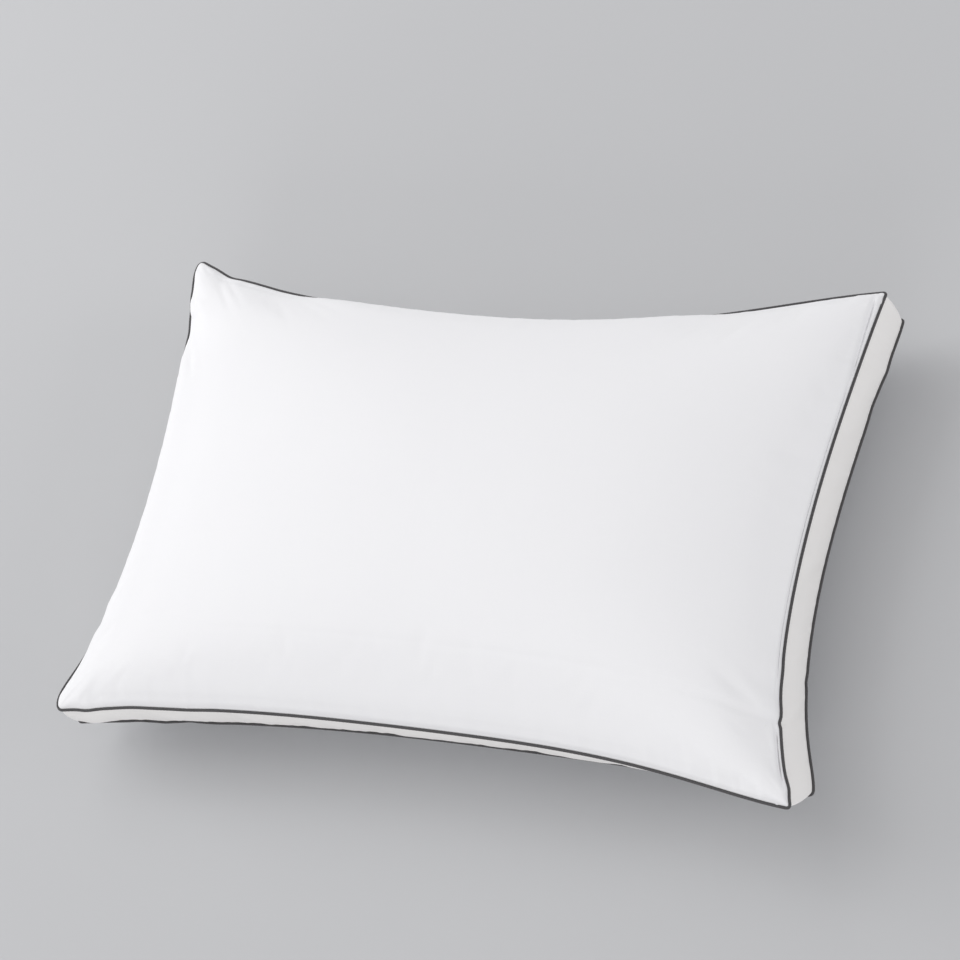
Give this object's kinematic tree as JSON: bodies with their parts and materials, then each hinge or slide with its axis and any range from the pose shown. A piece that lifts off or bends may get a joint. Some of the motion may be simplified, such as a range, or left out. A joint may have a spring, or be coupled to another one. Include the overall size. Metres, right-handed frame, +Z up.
{
  "type": "bed pillow",
  "caption": "Gusseted bed pillow: two crowned white cotton panels, an off-white side band and thin dark piping along both edge seams, filled with polyester fibre.",
  "frame": {"origin": "on the surface the pillow lies on, below the middle of its outline", "axes": "+X along the long side, +Y from the front edge to the back edge, +Z up through the crown"},
  "size_m": [0.6645, 0.4617, 0.1637],
  "materials": {
    "panel_cotton": "smooth white cotton, fine plain weave",
    "gusset_cotton": "off-white cotton, plain weave",
    "piping_tape": "dark grey bias tape, twill weave",
    "filler_cord": "twisted cotton cord",
    "fibre": "loose polyester fibre",
    "thread": "polyester sewing thread",
    "label_cloth": "blank woven tag"
  },
  "bodies": {
    "root": {"top_panel": "panel_cotton", "bottom_panel": "panel_cotton", "gusset_front": "gusset_cotton", "gusset_right": "gusset_cotton", "gusset_back": "gusset_cotton", "gusset_left": "gusset_cotton", "top_piping_cover": "piping_tape", "bottom_piping_cover": "piping_tape", "top_piping_cord": "filler_cord", "bottom_piping_cord": "filler_cord", "fibre_fill": "fibre", "top_seam_thread": "thread", "bottom_seam_thread": "thread", "corner_seam_threads": "thread", "closing_stitches": "thread", "care_label": "label_cloth"}
  },
  "joints": []
}
